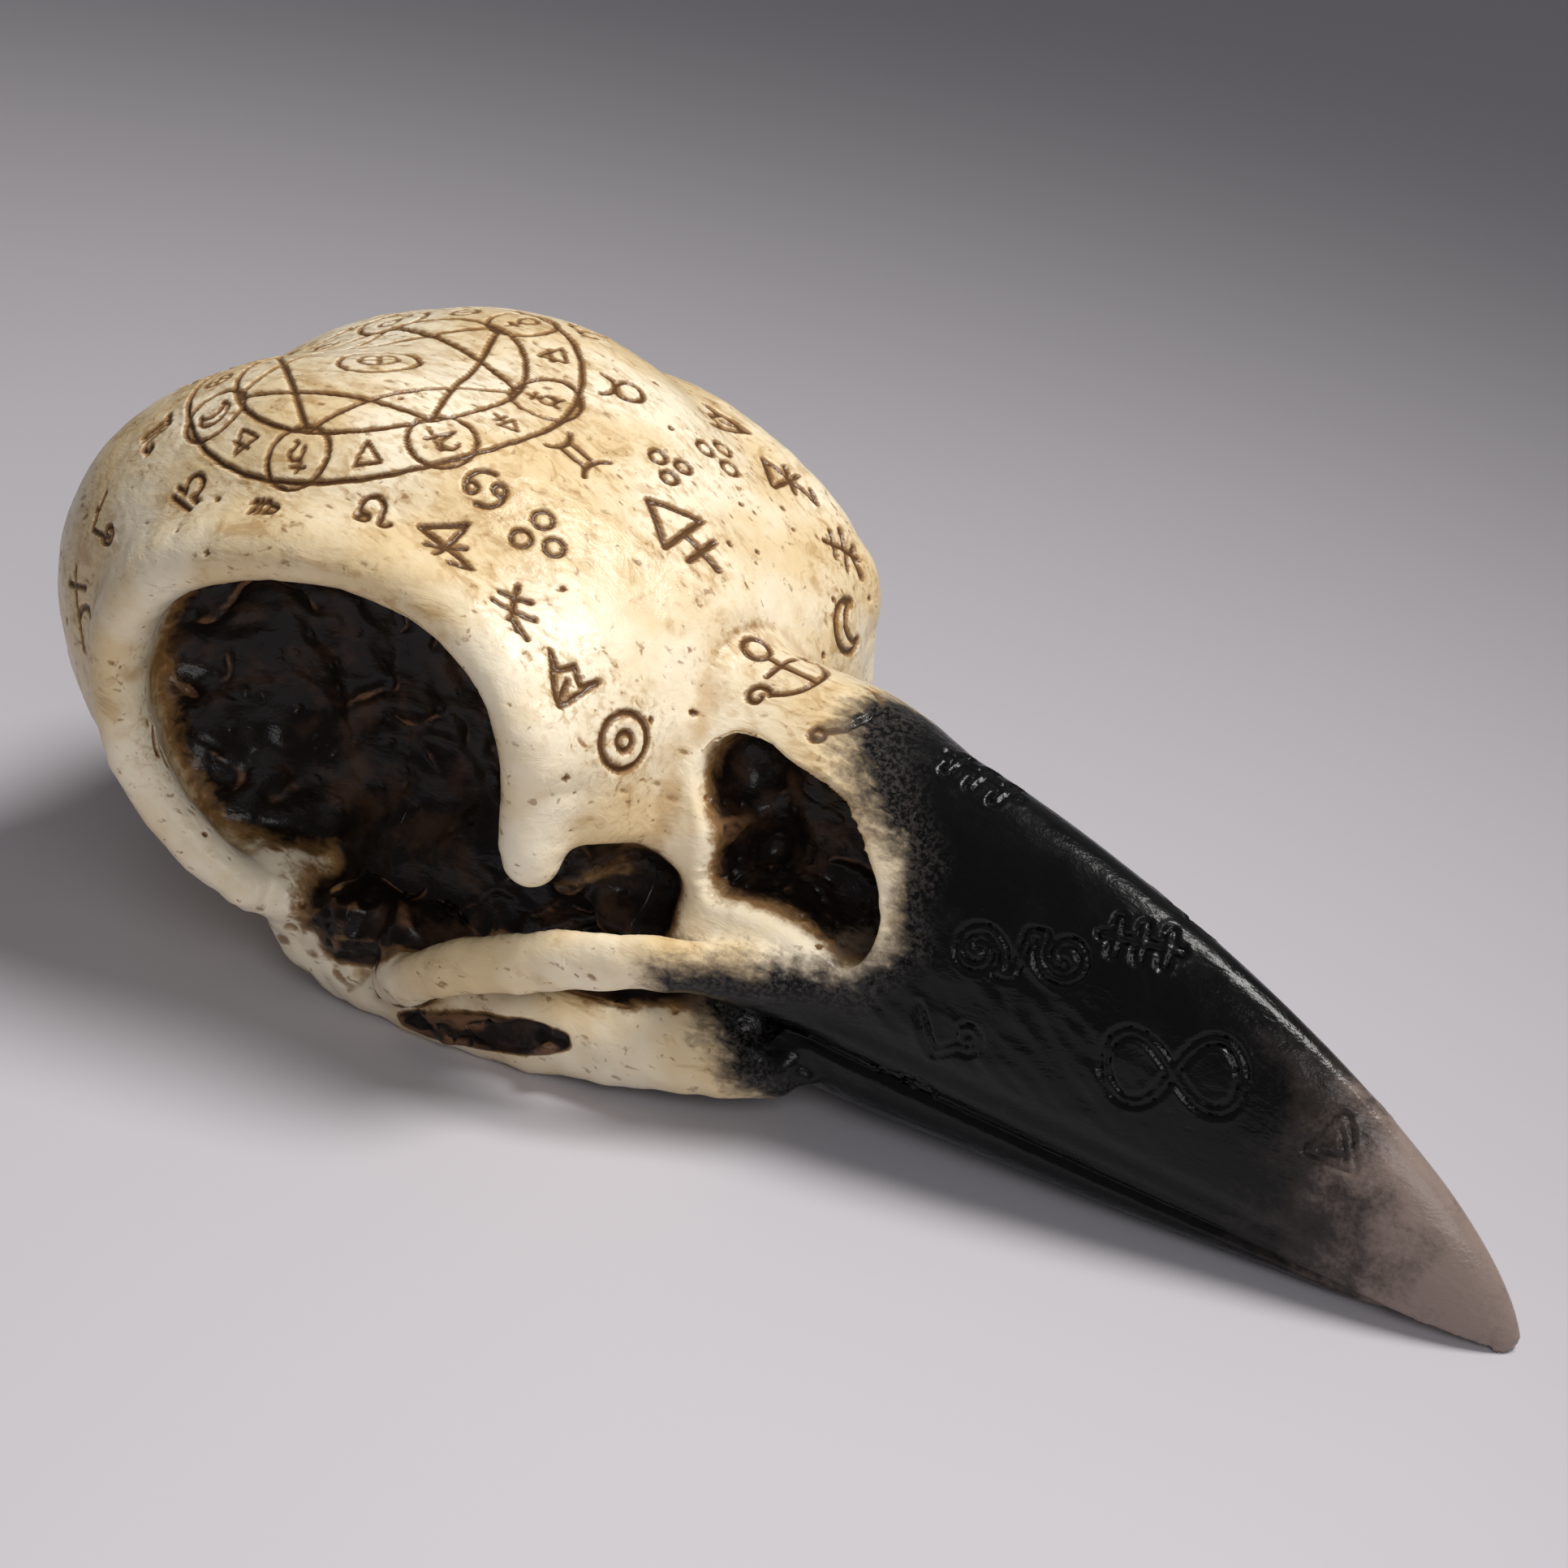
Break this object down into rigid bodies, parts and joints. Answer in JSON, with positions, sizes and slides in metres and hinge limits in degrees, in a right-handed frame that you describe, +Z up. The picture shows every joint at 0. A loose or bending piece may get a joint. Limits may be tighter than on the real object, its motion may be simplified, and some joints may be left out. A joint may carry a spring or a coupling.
{
  "type": "resin crow skull ornament",
  "caption": "Resin ornament shaped as a crow skull with a closed black bill, engraved cranium, deep eye sockets, nostril hollows and thin cheek struts, lying on its jaw.",
  "frame": {"origin": "on the table, below the middle of the bounding box", "axes": "+X from the back of the head to the tip of the bill, +Y to the skull's own left, +Z up"},
  "size_m": [0.2304, 0.09, 0.0905],
  "materials": {
    "bone": "ivory cast resin with a brown wash in the engraving and a clear gloss varnish",
    "bill": "black painted cast resin fading to grey-brown at the tip, clear gloss varnish"
  },
  "bodies": {
    "root": {"braincase": "bone", "forehead": "bone", "nose": "bone", "upper_bill": "bill", "lower_bill": "bill", "orbit_rim_right": "bone", "orbit_rim_left": "bone", "lacrimal_right": "bone", "lacrimal_left": "bone", "jugal_bar_right": "bone", "jugal_bar_left": "bone", "jaw_right": "bone", "jaw_left": "bone", "quadrate_right": "bone", "quadrate_left": "bone", "palate": "bone"}
  },
  "joints": []
}
